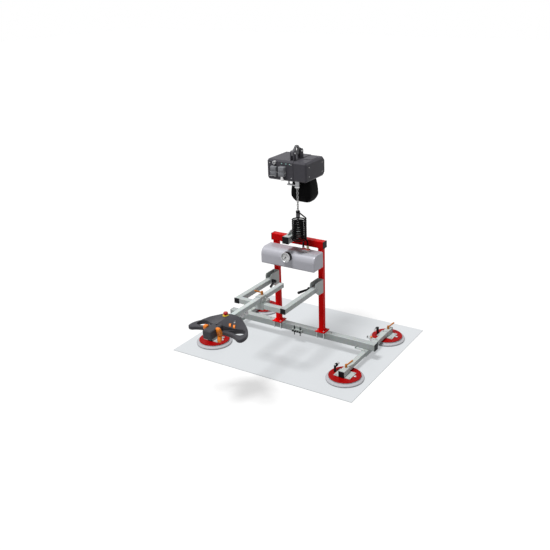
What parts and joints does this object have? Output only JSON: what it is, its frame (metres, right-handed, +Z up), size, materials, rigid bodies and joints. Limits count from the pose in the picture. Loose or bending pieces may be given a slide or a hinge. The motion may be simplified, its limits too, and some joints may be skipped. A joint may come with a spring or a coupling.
{
  "type": "glass panel lifter",
  "caption": "Vacuum lifter for glass panels: electric chain hoist, portal frame with vacuum unit, tilting control handle and adjustable suction plates on a long beam.",
  "frame": {"origin": "centre of the hoist's suspension eye", "axes": "+X along the main beam to the operator's right, +Y from the control handle towards the beam, +Z up"},
  "size_m": [1.646, 1.867, 1.772],
  "materials": {
    "red_paint": "smooth semi-gloss powder coat",
    "zinc_steel": "bright zinc plating with a faint grey-green tone",
    "silver_paint": "fine metallic silver paint",
    "hoist_grey": "cast aluminium with dark grey textured paint",
    "hood_grey": "mid grey moulded plastic",
    "steel": "machined steel",
    "chain_zinc": "zinc-plated welded chain",
    "brass_fitting": "nickel-faced brass fittings on red plates",
    "black_plastic": "black moulded plastic",
    "black_fabric": "coated black bag cloth",
    "hose_black": "black polyurethane hose",
    "handle_grey": "charcoal moulded plastic with a soft sheen",
    "orange_plastic": "orange moulded plastic",
    "lever_orange": "brown-orange coated die casting",
    "stop_red": "red moulded button",
    "seal_grey": "light grey soft seal",
    "gauge_black": "black case with a pale dial",
    "needle_black": "black enamelled needle"
  },
  "bodies": {
    "hoist": {"hoist_housing": "hoist_grey", "hoist_end_cover": "hoist_grey", "suspension_eye": "steel", "plug_hoods": "hood_grey", "chain_guide": "steel", "chain_bag": "black_fabric"},
    "load_wheel": {"load_wheel": "steel"},
    "chain": {"load_chain": "chain_zinc", "hook_swivel": "steel"},
    "lifter": {"load_hook": "steel", "hanging_tube": "zinc_steel", "top_beam": "red_paint", "left_post": "red_paint", "right_post": "red_paint", "main_beam": "zinc_steel", "arm_sleeves": "zinc_steel", "frame_clamps": "zinc_steel", "tube_end_caps": "black_plastic", "vacuum_manifold": "zinc_steel", "vacuum_cover": "silver_paint", "gauge_case": "gauge_black", "hose_fittings": "brass_fitting", "spiral_hose": "hose_black", "pivot_brackets": "zinc_steel"},
    "control": {"control_tube": "zinc_steel", "control_housing": "handle_grey"},
    "hook_latch": {"hook_latch": "steel"},
    "gauge_needle": {"gauge_needle": "needle_black"},
    "left_lock_lever": {"left_lock_lever": "black_plastic"},
    "right_lock_lever": {"right_lock_lever": "black_plastic"},
    "operator_frame": {"operator_frame": "zinc_steel"},
    "cross_clamp": {"cross_clamp": "zinc_steel"},
    "cross_clamp_lever": {"cross_clamp_lever": "lever_orange"},
    "left_trigger": {"left_trigger": "orange_plastic"},
    "right_trigger": {"right_trigger": "orange_plastic"},
    "inner_rocker": {"inner_rocker": "orange_plastic"},
    "outer_rocker": {"outer_rocker": "orange_plastic"},
    "stop_button": {"stop_button": "stop_red"},
    "left_cross_arm": {"left_cross_arm": "zinc_steel"},
    "right_cross_arm": {"right_cross_arm": "zinc_steel"},
    "front_right_plate": {"front_right_holder": "zinc_steel", "front_right_disc": "red_paint", "front_right_seal": "seal_grey"},
    "front_right_clamp_lever": {"front_right_clamp_lever": "lever_orange"},
    "front_right_valve_slide": {"front_right_valve_slide": "black_plastic"},
    "rear_right_plate": {"rear_right_holder": "zinc_steel", "rear_right_disc": "red_paint", "rear_right_seal": "seal_grey"},
    "rear_right_clamp_lever": {"rear_right_clamp_lever": "lever_orange"},
    "rear_right_valve_slide": {"rear_right_valve_slide": "black_plastic"},
    "front_left_plate": {"front_left_holder": "zinc_steel", "front_left_disc": "red_paint", "front_left_seal": "seal_grey"},
    "front_left_clamp_lever": {"front_left_clamp_lever": "lever_orange"},
    "front_left_valve_slide": {"front_left_valve_slide": "black_plastic"},
    "rear_left_plate": {"rear_left_holder": "zinc_steel", "rear_left_disc": "red_paint", "rear_left_seal": "seal_grey"},
    "rear_left_clamp_lever": {"rear_left_clamp_lever": "lever_orange"},
    "rear_left_valve_slide": {"rear_left_valve_slide": "black_plastic"}
  },
  "joints": [
    {"name": "lift", "type": "slide", "parent": "hoist", "child": "chain", "axis": [0, 0, 1], "range_m": [-0.055, 0.05]},
    {"name": "wheel_spin", "type": "hinge", "parent": "hoist", "child": "load_wheel", "pos_m": [0, 0.0227, -0.216], "axis": [1, 0, 0], "range_deg": [-130, 143]},
    {"name": "swivel", "type": "hinge", "parent": "chain", "child": "lifter", "pos_m": [0, 0, -0.58], "axis": [0, 0, 1], "range_deg": [-90, 90]},
    {"name": "latch", "type": "hinge", "parent": "lifter", "child": "hook_latch", "pos_m": [0.0108, 0, -0.61629], "axis": [0, -1, 0], "range_deg": [0, 25], "stiffness_Nm_per_rad": 0.2, "springref_deg": -28.65},
    {"name": "needle", "type": "hinge", "parent": "lifter", "child": "gauge_needle", "pos_m": [0.008, -0.226, -0.866], "axis": [0, 1, 0], "range_deg": [0, 270], "stiffness_Nm_per_rad": 0.002, "springref_deg": -22.92},
    {"name": "left_lock", "type": "hinge", "parent": "lifter", "child": "left_lock_lever", "pos_m": [-0.19, -0.13, -1.153], "axis": [1, 0, 0], "range_deg": [0, 75]},
    {"name": "right_lock", "type": "hinge", "parent": "lifter", "child": "right_lock_lever", "pos_m": [0.19, -0.13, -1.153], "axis": [1, 0, 0], "range_deg": [0, 75]},
    {"name": "frame_tilt", "type": "hinge", "parent": "lifter", "child": "operator_frame", "pos_m": [0, -0.13, -1.153], "axis": [-1, 0, 0], "range_deg": [-20, 30]},
    {"name": "clamp_shift", "type": "slide", "parent": "operator_frame", "child": "cross_clamp", "axis": [1, 0, 0], "range_m": [-0.09, 0.09]},
    {"name": "clamp_lever_turn", "type": "hinge", "parent": "cross_clamp", "child": "cross_clamp_lever", "pos_m": [0, -0.57634, -1.068], "axis": [0, 0, 1], "range_deg": [-60, 60]},
    {"name": "tube_reach", "type": "slide", "parent": "cross_clamp", "child": "control", "axis": [0, -1, 0], "range_m": [-0.04, 0.1]},
    {"name": "left_trigger_press", "type": "hinge", "parent": "control", "child": "left_trigger", "pos_m": [-0.04, -1.21362, -1.1255], "axis": [1, 0, 0], "range_deg": [-8, 8], "stiffness_Nm_per_rad": 2},
    {"name": "right_trigger_press", "type": "hinge", "parent": "control", "child": "right_trigger", "pos_m": [0.04, -1.21362, -1.1255], "axis": [1, 0, 0], "range_deg": [-8, 8], "stiffness_Nm_per_rad": 2},
    {"name": "inner_rocker_press", "type": "hinge", "parent": "control", "child": "inner_rocker", "pos_m": [0.07006, -1.10806, -1.1055], "axis": [0.866, 0.5, 0], "range_deg": [-12, 12], "stiffness_Nm_per_rad": 0.5},
    {"name": "outer_rocker_press", "type": "hinge", "parent": "control", "child": "outer_rocker", "pos_m": [0.09853, -1.09649, -1.11493], "axis": [0.866, 0.5, 0], "range_deg": [-12, 12], "stiffness_Nm_per_rad": 0.5},
    {"name": "stop_press", "type": "slide", "parent": "control", "child": "stop_button", "axis": [0, 0, -1], "range_m": [0, 0.006], "stiffness_N_per_m": 600, "springref_m": -0.004},
    {"name": "left_arm_slide", "type": "slide", "parent": "lifter", "child": "left_cross_arm", "axis": [0, 1, 0], "range_m": [-0.06, 0.06]},
    {"name": "right_arm_slide", "type": "slide", "parent": "lifter", "child": "right_cross_arm", "axis": [0, 1, 0], "range_m": [-0.06, 0.06]},
    {"name": "front_right_slide", "type": "slide", "parent": "right_cross_arm", "child": "front_right_plate", "axis": [0, -1, 0], "range_m": [-0.015, 0.04]},
    {"name": "front_right_lever_turn", "type": "hinge", "parent": "front_right_plate", "child": "front_right_clamp_lever", "pos_m": [0.663, -0.382, -1.65], "axis": [0, 0, 1], "range_deg": [-60, 60]},
    {"name": "front_right_valve_shift", "type": "slide", "parent": "front_right_plate", "child": "front_right_valve_slide", "axis": [0, 1, 0], "range_m": [0, 0.02]},
    {"name": "rear_right_slide", "type": "slide", "parent": "right_cross_arm", "child": "rear_right_plate", "axis": [0, 1, 0], "range_m": [-0.015, 0.04]},
    {"name": "rear_right_lever_turn", "type": "hinge", "parent": "rear_right_plate", "child": "rear_right_clamp_lever", "pos_m": [0.663, 0.422, -1.65], "axis": [0, 0, 1], "range_deg": [-60, 60]},
    {"name": "rear_right_valve_shift", "type": "slide", "parent": "rear_right_plate", "child": "rear_right_valve_slide", "axis": [0, -1, 0], "range_m": [0, 0.02]},
    {"name": "front_left_slide", "type": "slide", "parent": "left_cross_arm", "child": "front_left_plate", "axis": [0, -1, 0], "range_m": [-0.015, 0.04]},
    {"name": "front_left_lever_turn", "type": "hinge", "parent": "front_left_plate", "child": "front_left_clamp_lever", "pos_m": [-0.663, -0.382, -1.65], "axis": [0, 0, 1], "range_deg": [-60, 60]},
    {"name": "front_left_valve_shift", "type": "slide", "parent": "front_left_plate", "child": "front_left_valve_slide", "axis": [0, 1, 0], "range_m": [0, 0.02]},
    {"name": "rear_left_slide", "type": "slide", "parent": "left_cross_arm", "child": "rear_left_plate", "axis": [0, 1, 0], "range_m": [-0.015, 0.04]},
    {"name": "rear_left_lever_turn", "type": "hinge", "parent": "rear_left_plate", "child": "rear_left_clamp_lever", "pos_m": [-0.663, 0.422, -1.65], "axis": [0, 0, 1], "range_deg": [-60, 60]},
    {"name": "rear_left_valve_shift", "type": "slide", "parent": "rear_left_plate", "child": "rear_left_valve_slide", "axis": [0, -1, 0], "range_m": [0, 0.02]}
  ],
  "couplings": [
    {"joint": "wheel_spin", "follows": "lift", "rad_per_m": -44.053}
  ]
}
